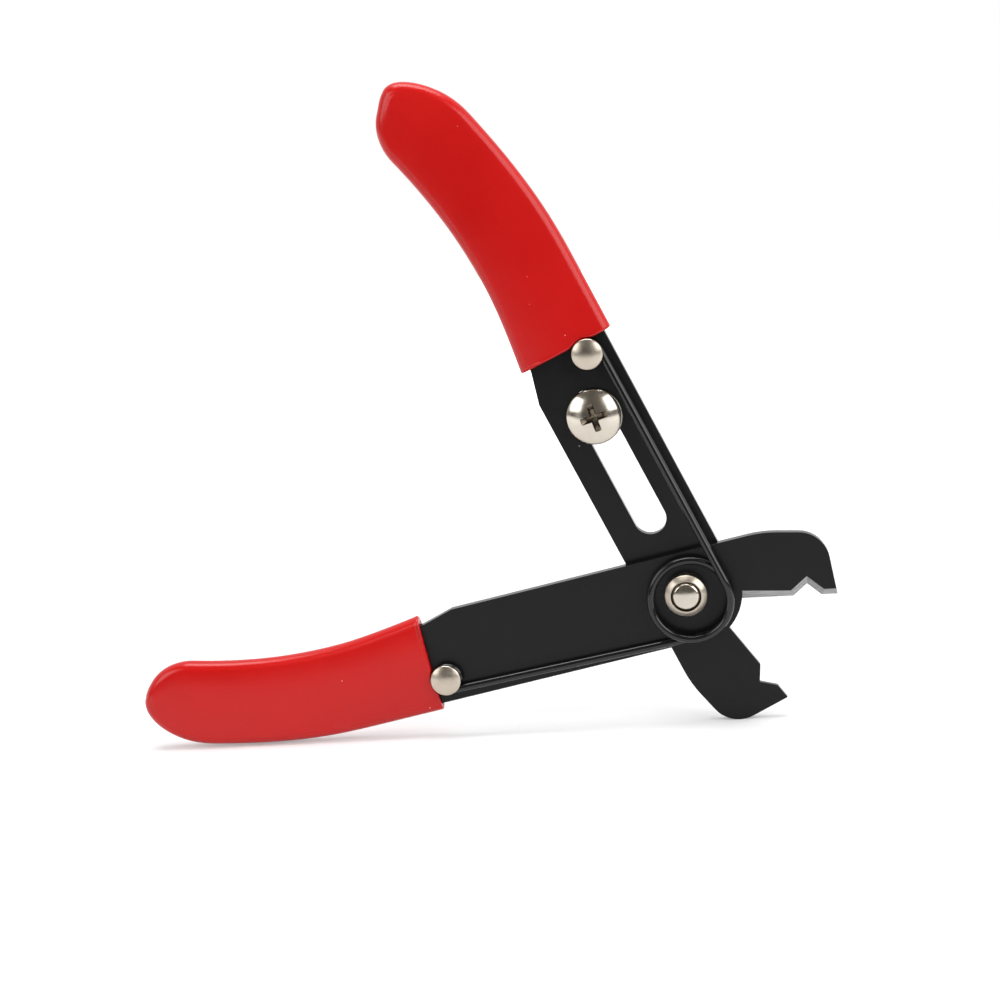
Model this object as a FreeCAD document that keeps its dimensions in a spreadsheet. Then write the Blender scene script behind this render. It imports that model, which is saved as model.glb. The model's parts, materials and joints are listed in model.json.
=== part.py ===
"""Spring-opened wire cutter and stripper with an adjustable stop, standing open on its edge.

Two flat plates cross at a pivot bolt. Each plate is a handle and the jaw opposite it, and the rear
plate is the front one turned over about its own length. A half is drawn in its bar frame: the pivot
at the origin, the handle along -X, the plate's inner edge towards +Z and the shearing face at Y = 0.
"""
import FreeCAD, Part
import math
import os
from types import SimpleNamespace

import Sketcher
from FreeCAD import Placement, Rotation, Vector

DRIVING_SIZES = {
    "plate_thickness": 2.0,
    "plate_gap": 0.04,
    "open_angle": 76.8,
    # Straight bar of a plate
    "bar_inner": 7.3,
    "bar_outer": 9.0,
    "slant_start": 41.3,
    "slant_run": 5.8,
    "hub_swell": 0.83,
    # Jaw, measured along its cutting edge
    "edge_slope": 11.4,
    "edge_offset": 1.62,
    "notch_reach": 21.15,
    "notch_half_width": 2.45,
    "notch_depth": 2.1,
    "tip_run": 2.8,
    "bevel_width": 0.9,
    "edge_land": 0.15,
    "nose_lean": 0.44,
    "jaw_height": 4.6,
    "jaw_corner_radius": 5.5,
    "jaw_shoulder": 15.5,
    "jaw_shoulder_radius": 20.0,
    # Bent tang of the handle and its vinyl sleeve
    "bend_run": 14.9,
    "bend_radius": 118.7,
    "tang_width": 13.7,
    "tang_end_angle": 18.4,
    "tang_corner_radius": 5.5,
    "mouth_gap": 0.5,
    "grip_end_cover": 1.8,
    "grip_wall": 1.28,
    "grip_face_wall": 1.45,
    "grip_inner_round": 6.6,
    "grip_end_flat": 1.2,
    "grip_edge_radius": 1.9,
    "grip_fit": 0.05,
    "tang_end_play": 0.05,
    "drip_radius": 2.2,
    "drip_stand": 0.7,
    "drip_inset": 4.5,
    # Spring wire
    "wire_diameter": 1.4,
    "coil_radius": 7.0,
    "coil_shift_along": 0.53,
    "coil_shift_down": 1.0,
    "coil_gap": 0.35,
    "leg_bend_reach": 0.5,
    "eye_slack": 0.24,
    "eye_turn": 285.0,
    "spring_seat": 0.06,
    "bite_play": 0.1,
    # Rivets of the spring's eyes
    "rivet_run": 4.15,
    "rivet_drop": 4.6,
    "rivet_shank_radius": 1.2,
    "rivet_head_radius": 2.75,
    "rivet_rim": 0.55,
    "rivet_dome": 0.75,
    "rivet_tail_radius": 2.1,
    "rivet_tail_height": 0.5,
    "rivet_fit": 0.03,
    # Pivot bolt and its round nut
    "pivot_radius": 2.45,
    "pivot_fit": 0.05,
    "pivot_head_radius": 4.6,
    "pivot_head_height": 1.6,
    "pivot_head_chamfer": 0.6,
    "pivot_end_chamfer": 0.35,
    "pivot_end_dome": 0.3,
    "pivot_end_stand": 0.05,
    "nut_radius": 3.75,
    "nut_rim": 2.1,
    "nut_cone": 0.9,
    "nut_top_land": 0.37,
    "nut_fit": 0.03,
    # Adjustable stop in the rear plate's slot
    "slot_play": 0.8,
    "slot_inner_reach": 14.4,
    "slot_end_gap": 4.1,
    "slot_drop": 0.4,
    "stop_setting": 2.15,
    "stop_shank_radius": 2.45,
    "stop_head_radius": 4.95,
    "stop_head_rim": 0.7,
    "stop_head_dome": 1.75,
    "stop_tail": 1.0,
    "stop_end_chamfer": 0.35,
    "stop_turn": 14.0,
    "recess_reach": 2.3,
    "recess_width": 1.15,
    "recess_depth": 1.5,
    "stop_fit": 0.03,
    "washer_thickness": 1.2,
    "washer_outer_radius": 4.3,
    "washer_split": 0.9,
    "hex_across_flats": 8.0,
    "hex_height": 3.6,
    "hex_chamfer": 0.45,
}

ALONG_BOLT = Vector(0, 1, 0)
FULL_TURN = 360
# Two points closer than this are one place
SAME_PLACE = 0.01
# Arcs in each eye of the spring and in its coil
EYE_ARCS = 3
COIL_ARCS = 4
# A hair over a half circle keeps each slot end a true arc when the slot is resized
SLOT_END_EASE = 1.0001


class Size:
    """A number together with the sheet expression that gives it."""

    def __init__(self, value, text):
        self.value = value
        self.text = text

    @staticmethod
    def of(other):
        return other if isinstance(other, Size) else Size(float(other), repr(float(other)))

    def __add__(self, other):
        other = Size.of(other)
        return Size(self.value + other.value, f"({self.text} + {other.text})")

    def __sub__(self, other):
        other = Size.of(other)
        return Size(self.value - other.value, f"({self.text} - {other.text})")

    def __mul__(self, other):
        other = Size.of(other)
        return Size(self.value * other.value, f"({self.text} * {other.text})")

    def __truediv__(self, other):
        other = Size.of(other)
        return Size(self.value / other.value, f"({self.text} / {other.text})")

    def __neg__(self):
        return Size(-self.value, f"(-1 * {self.text})")


def cosine(angle):
    return Size(math.cos(math.radians(angle.value)), f"cos({angle.text})")


def sine(angle):
    return Size(math.sin(math.radians(angle.value)), f"sin({angle.text})")


def arcsine(share):
    return Size(math.degrees(math.asin(share.value)), f"(asin({share.text}) / 1 deg)")


def root(square):
    return Size(math.sqrt(square.value), f"sqrt({square.text})")


def make_sheet(doc):
    """Spreadsheet of the driving sizes; returns the same sizes as bound values."""
    sheet = doc.addObject("Spreadsheet::Sheet", "Sizes")
    for row, (alias, value) in enumerate(DRIVING_SIZES.items(), start=1):
        sheet.set(f"A{row}", alias)
        sheet.set(f"B{row}", str(value))
        sheet.setAlias(f"B{row}", alias)
    doc.recompute()
    sizes = SimpleNamespace(**{
        alias: Size(float(sheet.get(alias)), f"Sizes.{alias}") for alias in DRIVING_SIZES
    })
    add_dependent_sizes(sizes)
    return sizes


def add_dependent_sizes(s):
    """Sizes that follow from the driving ones."""
    s.slant_end = s.slant_start + s.slant_run
    s.bend_start = s.slant_end + s.bend_run
    s.grip_mouth = s.slant_end + s.mouth_gap
    s.grip_end_angle = s.tang_end_angle + s.grip_end_cover
    s.grip_outer_round = s.tang_width + s.grip_wall * 2 - s.grip_inner_round - s.grip_end_flat
    s.hub_radius = s.bar_outer + s.hub_swell
    s.edge_root = root(s.hub_radius * s.hub_radius - s.edge_offset * s.edge_offset)
    s.tip_reach = s.notch_reach + s.notch_half_width + s.tip_run
    s.bevel_depth = s.plate_thickness - s.edge_land
    s.rivet_reach = s.slant_start + s.rivet_run
    s.eye_radius = s.rivet_shank_radius + s.wire_diameter / 2 + s.spring_seat + s.eye_slack
    s.coil_pitch = s.wire_diameter + s.coil_gap
    s.pivot_end_radius = s.pivot_radius - s.pivot_end_chamfer
    s.nut_height = s.nut_rim + s.nut_cone
    s.nut_top_radius = s.pivot_radius + s.nut_fit + s.nut_top_land
    s.slot_width = s.stop_shank_radius * 2 + s.slot_play
    s.slot_outer_reach = s.slant_start - s.slot_end_gap
    s.stop_reach = s.slot_outer_reach - s.stop_setting


def new_body(doc, label):
    body = doc.addObject("PartDesign::Body", label)
    body.Label = label
    return body


def new_sketch(body, name, role):
    """Sketch on one of the body's own origin planes."""
    sketch = body.newObject("Sketcher::SketchObject", name)
    plane = next(item for item in body.Origin.OriginFeatures if item.Role == role)
    sketch.AttachmentSupport = [(plane, "")]
    sketch.MapMode = "FlatFace"
    return sketch


def constrain(sketch, kind, *where, size):
    """One dimension of a sketch, bound to the sheet."""
    index = sketch.addConstraint(Sketcher.Constraint(kind, *where, size.value))
    sketch.setExpression(f"Constraints[{index}]", size.text)


def add_arc(sketch, start, end, radius, turn):
    """Arc from start to end; turn is +1 for anticlockwise. Returns its start and end point numbers."""
    chord = end - start
    half = chord.Length / 2
    side = Vector(-chord.y, chord.x, 0).normalize() * turn
    centre = (start + end) / 2 + side * math.sqrt(radius * radius - half * half)
    first, last = (start, end) if turn > 0 else (end, start)
    angles = [math.atan2(point.y - centre.y, point.x - centre.x) for point in (first, last)]
    circle = Part.Circle(centre, Vector(0, 0, 1), radius)
    sketch.addGeometry(Part.ArcOfCircle(circle, angles[0], angles[1]))
    return (1, 2) if turn > 0 else (2, 1)


def add_loop(sketch, corners, arcs=None):
    """Closed loop through bound corners; arcs gives (radius, turn) for an edge by its first corner."""
    arcs = arcs or {}
    base = sketch.GeometryCount
    points = [Vector(x.value, y.value, 0) for x, y in corners]
    ends = []
    for index, start in enumerate(points):
        end = points[(index + 1) % len(points)]
        if index in arcs:
            radius, turn = arcs[index]
            ends.append(add_arc(sketch, start, end, radius.value, turn))
        else:
            sketch.addGeometry(Part.LineSegment(start, end))
            ends.append((1, 2))
    for index in range(len(points)):
        after = (index + 1) % len(points)
        sketch.addConstraint(Sketcher.Constraint(
            "Coincident", base + index, ends[index][1], base + after, ends[after][0]))
    for index, (x, y) in enumerate(corners):
        constrain(sketch, "DistanceX", -1, 1, base + index, ends[index][0], size=Size.of(x))
        constrain(sketch, "DistanceY", -1, 1, base + index, ends[index][0], size=Size.of(y))
    for index, (radius, _turn) in arcs.items():
        constrain(sketch, "Radius", base + index, size=radius)


def add_circle(sketch, radius, centre=None):
    """Bound circle, on the origin or on a bound centre."""
    x, y = centre or (Size.of(0), Size.of(0))
    index = sketch.addGeometry(Part.Circle(Vector(x.value, y.value, 0), Vector(0, 0, 1), radius.value))
    if centre:
        constrain(sketch, "DistanceX", -1, 1, index, 3, size=x)
        constrain(sketch, "DistanceY", -1, 1, index, 3, size=y)
    else:
        sketch.addConstraint(Sketcher.Constraint("Coincident", index, 3, -1, 1))
    constrain(sketch, "Radius", index, size=radius)


def pad(body, name, sketch, length, back_length=None):
    """Pad towards -Y, and also towards +Y by back_length."""
    feature = body.newObject("PartDesign::Pad", name)
    feature.Profile = sketch
    feature.setExpression("Length", length.text)
    if back_length:
        feature.SideType = "Two sides"
        feature.setExpression("Length2", back_length.text)
    return feature


def dress(body, kind, name, base, edges, **sizes):
    """Fillet or chamfer of named edges, its sizes bound to the sheet."""
    feature = body.newObject(f"PartDesign::{kind}", name)
    feature.Base = (base, edges)
    if kind == "Chamfer" and len(sizes) > 1:
        feature.ChamferType = "Two distances"
    for key, size in sizes.items():
        feature.setExpression(key, size.text)
    return feature


def revolve(doc, label, section, arcs=None):
    """Turned piece: a half section of (radius, depth) corners about the Y axis."""
    body = new_body(doc, label)
    sketch = new_sketch(body, f"{label}_section", "XY_Plane")
    add_loop(sketch, section, arcs)
    feature = body.newObject("PartDesign::Revolution", f"{label}_turned")
    feature.Profile = sketch
    feature.ReferenceAxis = (sketch, ["V_Axis"])
    feature.Angle = FULL_TURN
    return body


def upright_edges(feature, corners):
    """Names of the edges along Y that stand on the given (x, z) corners."""
    names = []
    for index, edge in enumerate(feature.Shape.Edges, start=1):
        ends = [vertex.Point for vertex in edge.Vertexes]
        for x, z in corners:
            gaps = [math.hypot(point.x - x.value, point.z - z.value) for point in ends]
            if len(gaps) == 2 and max(gaps) < SAME_PLACE:
                names.append(f"Edge{index}")
    return names


def face_edges(feature, depth, keep):
    """Names of the edges that lie in the plane Y = depth and pass the keep test at their middle."""
    names = []
    for index, edge in enumerate(feature.Shape.Edges, start=1):
        first, last = edge.ParameterRange
        samples = [edge.valueAt(first + (last - first) * share) for share in (0.0, 0.5, 1.0)]
        if all(abs(point.y - depth) < SAME_PLACE for point in samples) and keep(samples[1]):
            names.append(f"Edge{index}")
    return names


def dome_radius(base_radius, rise):
    """Radius of the spherical cap with this base and rise."""
    return (base_radius * base_radius + rise * rise) / (rise * 2)


def edge_point(s, along, above):
    """Point by its distance along the cutting edge from the pivot's foot, and above that edge."""
    lift = above - s.edge_offset
    return (along * cosine(s.edge_slope) + lift * sine(s.edge_slope),
            lift * cosine(s.edge_slope) - along * sine(s.edge_slope))


def bend_centre(s):
    return -s.bend_start, s.bend_radius - s.bar_outer


def on_bend(s, radius, angle):
    """Point on a circle about the handle's bend, at an angle past the bend's start."""
    x, z = bend_centre(s)
    return x - radius * sine(angle), z - radius * cosine(angle)


def inner_band_point(s, reach, margin):
    """Point on the inner side of the bent band, at a distance from the pivot along the bar."""
    x, z = bend_centre(s)
    radius = s.bend_radius - s.tang_width - margin
    run = s.bend_start - reach
    return -reach, z - root(radius * radius - run * run)


def bent_band(s, reach, end_angle, margin, inner_round, outer_round):
    """Corners and arcs of the handle's bent band, widened by a margin, its end rounded on both sides."""
    inner = s.bend_radius - s.tang_width - margin
    outer = s.bend_radius + margin
    low = -s.bar_outer - margin
    # Distances from the bend's centre to the centres of the two rounds
    inner_seat = inner + inner_round
    outer_seat = outer - outer_round
    corners = [
        inner_band_point(s, reach, margin),
        on_bend(s, inner, end_angle - arcsine(inner_round / inner_seat)),
        on_bend(s, root(inner_seat * inner_seat - inner_round * inner_round), end_angle),
        on_bend(s, root(outer_seat * outer_seat - outer_round * outer_round), end_angle),
        on_bend(s, outer, end_angle - arcsine(outer_round / outer_seat)),
        (-s.bend_start, low),
        (-reach, low),
    ]
    return corners, {0: (inner, -1), 1: (inner_round, 1), 3: (outer_round, 1), 4: (outer, 1)}


def jaw_corner(s):
    """Upper corner of the jaw's nose, before it is rounded."""
    tip_x, _tip_z = edge_point(s, s.tip_reach, Size.of(0))
    return tip_x + s.nose_lean, s.jaw_height


def cutting_edge(s):
    """Corners of the cutting edge from its root to the tip, round the stripping notch."""
    none = Size.of(0)
    return [edge_point(s, s.edge_root, none),
            edge_point(s, s.notch_reach - s.notch_half_width, none),
            edge_point(s, s.notch_reach, s.notch_depth),
            edge_point(s, s.notch_reach + s.notch_half_width, none),
            edge_point(s, s.tip_reach, none)]


def make_plate(doc, s, label, slotted):
    """Handle and jaw in one flat plate, with a ground bevel along the cutting edge."""
    body = new_body(doc, label)
    sketch = new_sketch(body, f"{label}_outline", "XZ_Plane")
    band, band_arcs = bent_band(s, s.slant_end, s.tang_end_angle, Size.of(0),
                                s.tang_corner_radius, s.tang_corner_radius)
    blade = cutting_edge(s)
    hub_foot = (-root(s.hub_radius * s.hub_radius - s.bar_outer * s.bar_outer), -s.bar_outer)
    shoulder = (s.jaw_shoulder, s.bar_inner)
    corners = [jaw_corner(s), shoulder, (-s.slant_start, s.bar_inner)]
    arcs = {index + len(corners): arc for index, arc in band_arcs.items()}
    corners += band[:-1]
    arcs[len(corners)] = (s.hub_radius, 1)
    corners += [hub_foot] + blade
    add_loop(sketch, corners, arcs)
    add_circle(sketch, s.pivot_radius + s.pivot_fit)
    add_circle(sketch, s.rivet_shank_radius + s.rivet_fit, (-s.rivet_reach, -s.rivet_drop))
    if slotted:
        add_slot(sketch, s)
    blank = pad(body, f"{label}_blank", sketch, s.plate_thickness)
    doc.recompute()
    jaw = dress(body, "Fillet", f"{label}_jaw_corner", blank,
                upright_edges(blank, [jaw_corner(s)]), Radius=s.jaw_corner_radius)
    doc.recompute()
    neck = dress(body, "Fillet", f"{label}_jaw_shoulder", jaw,
                 upright_edges(jaw, [shoulder]), Radius=s.jaw_shoulder_radius)
    doc.recompute()
    grind_bevel(body, s, label, neck, blade)
    return body


def grind_bevel(body, s, label, base, blade):
    """Bevel on the outer face along the cutting edge."""
    spans = [((a[0].value + b[0].value) / 2, (a[1].value + b[1].value) / 2)
             for a, b in zip(blade, blade[1:])]
    edges = face_edges(base, -s.plate_thickness.value,
                       lambda p: any(math.hypot(p.x - x, p.z - z) < SAME_PLACE for x, z in spans))
    dress(body, "Chamfer", f"{label}_bevel", base, edges, Size=s.bevel_depth, Size2=s.bevel_width)


def add_slot(sketch, s):
    """Round-ended slot of the stop, along the bar."""
    half = s.slot_width / 2
    near, far = -s.slot_inner_reach, -s.slot_outer_reach
    top, bottom = half - s.slot_drop, -half - s.slot_drop
    corners = [(far, bottom), (near, bottom), (near, top), (far, top)]
    end_radius = half * SLOT_END_EASE
    add_loop(sketch, corners, {1: (end_radius, 1), 3: (end_radius, 1)})


def make_grip(doc, s, label, spring_towards_plus_y):
    """Dipped vinyl sleeve round the tang, closed at its end, with the drip that the dipping leaves."""
    body = new_body(doc, label)
    corners, arcs = bent_band(s, s.grip_mouth, s.grip_end_angle, s.grip_wall,
                              s.grip_inner_round, s.grip_outer_round)
    sketch = new_sketch(body, f"{label}_outline", "XZ_Plane")
    add_loop(sketch, corners, arcs)
    blank = pad(body, f"{label}_blank", sketch, s.plate_thickness + s.grip_face_wall, s.grip_face_wall)
    doc.recompute()
    past_mouth = -s.grip_mouth.value - s.grip_edge_radius.value / 2
    rims = [face_edges(blank, depth, lambda p: p.x < past_mouth)
            for depth in (s.grip_face_wall.value, -s.plate_thickness.value - s.grip_face_wall.value)]
    dress(body, "Fillet", f"{label}_soft_edges", blank, rims[0] + rims[1], Radius=s.grip_edge_radius)
    doc.recompute()
    add_drip(doc, body, s, label)
    hollow_grip(body, s, label)
    bite_mouth(body, s, label, spring_towards_plus_y)
    return body


def add_drip(doc, body, s, label):
    """Small round drip on the sleeve's closed end."""
    drip = body.newObject("PartDesign::AdditiveSphere", f"{label}_drip")
    x, z = on_bend(s, s.bend_radius - s.drip_inset, s.grip_end_angle)
    sunk = s.drip_radius - s.drip_stand
    drip.setExpression("Radius", s.drip_radius.text)
    drip.setExpression("AttachmentOffset.Base.x", (x + sunk * cosine(s.grip_end_angle)).text)
    drip.setExpression("AttachmentOffset.Base.y", (-s.plate_thickness / 2).text)
    drip.setExpression("AttachmentOffset.Base.z", (z - sunk * sine(s.grip_end_angle)).text)
    drip.AttachmentSupport = [(next(f for f in body.Origin.OriginFeatures if f.Role == "XY_Plane"), "")]
    drip.MapMode = "FlatFace"
    doc.recompute()


def hollow_grip(body, s, label):
    """Room for the tang inside the sleeve."""
    hollow = new_sketch(body, f"{label}_hollow", "XZ_Plane")
    corner_round = s.tang_corner_radius + s.grip_fit
    corners, arcs = bent_band(s, s.slant_end, s.tang_end_angle + s.tang_end_play, s.grip_fit,
                              corner_round, corner_round)
    add_loop(hollow, corners, arcs)
    room = body.newObject("PartDesign::Pocket", f"{label}_tang_room")
    room.Profile = hollow
    room.SideType = "Two sides"
    room.setExpression("Length", s.grip_fit.text)
    room.setExpression("Length2", (s.plate_thickness + s.grip_fit).text)


def bite_mouth(body, s, label, spring_towards_plus_y):
    """Round bite in the sleeve's mouth that clears the spring's eye."""
    circle = new_sketch(body, f"{label}_bite_circle", "XZ_Plane")
    clear = s.eye_radius + s.wire_diameter / 2 + s.bite_play
    add_circle(circle, clear, (s.eye_slack - s.rivet_reach, -s.rivet_drop))
    bite = body.newObject("PartDesign::Pocket", f"{label}_bite")
    bite.Profile = circle
    bite.Reversed = not spring_towards_plus_y
    depth = s.grip_face_wall * 2 + (Size.of(0) if spring_towards_plus_y else s.plate_thickness)
    bite.setExpression("Length", depth.text)


def make_rivet(doc, s, label):
    """Domed rivet; depth 0 is the plate's face under the spring's eye."""
    none = Size.of(0)
    collar = -(s.wire_diameter + s.spring_seat * 2)
    rim = collar - s.rivet_rim
    back = s.plate_thickness
    tail = back + s.rivet_tail_height
    section = [(none, rim - s.rivet_dome), (none, tail), (s.rivet_tail_radius, tail),
               (s.rivet_tail_radius, back), (s.rivet_shank_radius, back), (s.rivet_shank_radius, collar),
               (s.rivet_head_radius, collar), (s.rivet_head_radius, rim)]
    arcs = {7: (dome_radius(s.rivet_head_radius, s.rivet_dome), -1)}
    return revolve(doc, label, section, arcs)


def make_pivot_bolt(doc, s, label):
    """Pivot bolt with its flat head behind the rear plate and a domed end in front."""
    none = Size.of(0)
    seat = s.plate_thickness + s.plate_gap
    top = seat + s.pivot_head_height
    end = -(s.plate_thickness + s.plate_gap / 2 + s.nut_height + s.pivot_end_stand)
    section = [(none, end - s.pivot_end_dome), (none, top),
               (s.pivot_head_radius - s.pivot_head_chamfer, top),
               (s.pivot_head_radius, top - s.pivot_head_chamfer), (s.pivot_head_radius, seat),
               (s.pivot_radius, seat), (s.pivot_radius, end + s.pivot_end_chamfer),
               (s.pivot_end_radius, end)]
    return revolve(doc, label, section, {7: (dome_radius(s.pivot_end_radius, s.pivot_end_dome), -1)})


def make_pivot_nut(doc, s, label):
    """Round nut with a conical top, seated on the front plate."""
    seat = -(s.plate_thickness + s.plate_gap / 2)
    bore = s.pivot_radius + s.nut_fit
    section = [(bore, seat), (s.nut_radius, seat), (s.nut_radius, seat - s.nut_rim),
               (s.nut_top_radius, seat - s.nut_height), (bore, seat - s.nut_height)]
    return revolve(doc, label, section)


def stop_stack(s):
    """Depths of the stop behind the slotted plate: washer seat, nut seat and the nut's outer face."""
    washer_seat = s.plate_thickness
    nut_seat = washer_seat + s.washer_thickness
    return washer_seat, nut_seat, nut_seat + s.hex_height


def make_stop_screw(doc, s, label):
    """Domed cross recess screw; depth 0 is the slotted plate's front face under the head."""
    none = Size.of(0)
    rim = -s.stop_head_rim
    end = stop_stack(s)[2] + s.stop_tail
    chamfer = s.stop_end_chamfer
    section = [(none, rim - s.stop_head_dome), (none, end), (s.stop_shank_radius - chamfer, end),
               (s.stop_shank_radius, end - chamfer), (s.stop_shank_radius, none),
               (s.stop_head_radius, none), (s.stop_head_radius, rim)]
    body = revolve(doc, label, section, {6: (dome_radius(s.stop_head_radius, s.stop_head_dome), -1)})
    cross = new_sketch(body, f"{label}_cross", "XZ_Plane")
    half, reach = s.recess_width / 2, s.recess_reach
    add_loop(cross, [(reach, -half), (reach, half), (half, half), (half, reach),
                     (-half, reach), (-half, half), (-reach, half), (-reach, -half),
                     (-half, -half), (-half, -reach), (half, -reach), (half, -half)])
    floor = s.stop_head_rim + s.stop_head_dome - s.recess_depth
    cross.setExpression("AttachmentOffset.Base.z", floor.text)
    recess = body.newObject("PartDesign::Pocket", f"{label}_recess")
    recess.Profile = cross
    recess.Reversed = True
    recess.setExpression("Length", (s.recess_depth * 2).text)
    return body


def make_lock_washer(doc, s, label):
    """Split spring washer of the stop."""
    body = new_body(doc, label)
    ring = new_sketch(body, f"{label}_ring", "XZ_Plane")
    add_circle(ring, s.washer_outer_radius)
    add_circle(ring, s.stop_shank_radius + s.stop_fit)
    pad(body, f"{label}_blank", ring, s.washer_thickness)
    split = new_sketch(body, f"{label}_split", "XZ_Plane")
    half, far = s.washer_split / 2, s.washer_outer_radius * 2
    near = s.stop_shank_radius / 2
    add_loop(split, [(half, near), (half, far), (-half, far), (-half, near)])
    cut = body.newObject("PartDesign::Pocket", f"{label}_cut")
    cut.Profile = split
    cut.Reversed = True
    cut.setExpression("Length", (s.washer_thickness * 2).text)
    return body


def make_hex_nut(doc, s, label):
    """Hex nut of the stop, its corners turned off at both ends."""
    body = new_body(doc, label)
    hexagon = new_sketch(body, f"{label}_hexagon", "XZ_Plane")
    corner = s.hex_across_flats / root(Size.of(3))
    side = s.hex_across_flats / 2
    half = corner / 2
    add_loop(hexagon, [(corner, Size.of(0)), (half, side), (-half, side),
                       (-corner, Size.of(0)), (-half, -side), (half, -side)])
    add_circle(hexagon, s.stop_shank_radius + s.stop_fit)
    pad(body, f"{label}_blank", hexagon, s.hex_height)
    cone = new_sketch(body, f"{label}_cone", "XY_Plane")
    far = corner + s.hex_chamfer
    drop = s.hex_chamfer * (far - side) / (corner - side)
    for face, inward in ((Size.of(0), -1), (-s.hex_height, 1)):
        add_loop(cone, [(side, face), (far, face), (far, face + drop * inward)])
    turned = body.newObject("PartDesign::Groove", f"{label}_turned")
    turned.Profile = cone
    turned.ReferenceAxis = (cone, ["V_Axis"])
    turned.Angle = FULL_TURN
    return body


def turned_about_bolt(angle):
    """Placement that turns a half about the pivot, anticlockwise as seen from the front."""
    return Placement(Vector(), Rotation(-ALONG_BOLT, angle))


def fillet_centre(corner, before, after, radius):
    """Centre of the round on a corner between two straight edges."""
    first = (before - corner).normalize()
    second = (after - corner).normalize()
    middle = (first + second).normalize()
    half_angle = first.getAngle(second) / 2
    return corner + middle * (radius / math.sin(half_angle))


def in_plane(point):
    return Vector(point[0].value, 0, point[1].value)


def half_placements(s):
    """Front and rear half turned so that the lower sleeve and the rear jaw stand on one floor line."""
    shift = Vector(0, s.plate_gap.value / 2, 0)
    front = Placement(-shift, Rotation())
    flip = Placement(shift, Rotation(Vector(1, 0, 0), 180))
    rear = turned_about_bolt(-s.open_angle.value).multiply(flip)
    grip_centre = in_plane(bend_centre(s))
    grip_radius = (s.bend_radius + s.grip_wall).value
    jaw_centre = rear.multVec(fillet_centre(
        in_plane(jaw_corner(s)), in_plane(cutting_edge(s)[-1]),
        in_plane((s.jaw_shoulder, s.bar_inner)), s.jaw_corner_radius.value))
    across = jaw_centre - grip_centre
    span = math.hypot(across.x, across.z)
    lean = math.asin((grip_radius - s.jaw_corner_radius.value) / span)
    floor_slope = math.atan2(across.z, across.x) + lean
    level = turned_about_bolt(-math.degrees(floor_slope))
    return level.multiply(front), level.multiply(rear)


def tangent_direction(start, start_radius, end, end_radius):
    """Direction of the line that leaves one circle and meets the next, both turning anticlockwise."""
    across = end - start
    span = math.hypot(across.x, across.z)
    return math.atan2(across.z, across.x) - math.asin((end_radius - start_radius) / span)


def around(centre, radius, angle, depth):
    return Vector(centre.x + radius * math.cos(angle), depth, centre.z + radius * math.sin(angle))


def flat_arcs(centre, radius, first, last, depth):
    """Level arcs round a centre, each well under half a turn."""
    step = (last - first) / EYE_ARCS
    return [
        Part.Arc(*(around(centre, radius, first + step * (index + share), depth) for share in (0, 0.5, 1)))
        for index in range(EYE_ARCS)
    ]


def coil_path(s, centre, first, last, depth):
    """Arcs of the coil. It leaves the plate level, then climbs forward at a steady slope."""
    radius = s.coil_radius.value
    step = (last - first) / COIL_ARCS
    climb = s.coil_pitch.value * step / (2 * math.pi)
    steady = climb * math.sin(step) / (2 * radius * (1 - math.cos(step)))
    slopes = [0] + [steady] * COIL_ARCS
    arcs = []
    for index, (slope, next_slope) in enumerate(zip(slopes, slopes[1:])):
        lean = (next_slope - slope * math.cos(step)) / math.sin(step)
        points = [
            around(centre, radius, first + step * (index + share),
                   depth - radius * (slope * math.sin(step * share) + lean * (1 - math.cos(step * share))))
            for share in (0, 0.5, 1)
        ]
        arcs.append(Part.Arc(*points))
        depth = points[-1].y
    return arcs


def bend(corner, before, after, reach):
    """Arc that rounds a corner between two directions of travel, from reach before it to reach past it."""
    half_turn = before.getAngle(after) / 2
    radius = reach / math.tan(half_turn)
    inward = (after - before).normalize()
    middle = corner + inward * (radius / math.cos(half_turn) - radius)
    return Part.Arc(corner - before * reach, middle, corner + after * reach)


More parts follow.
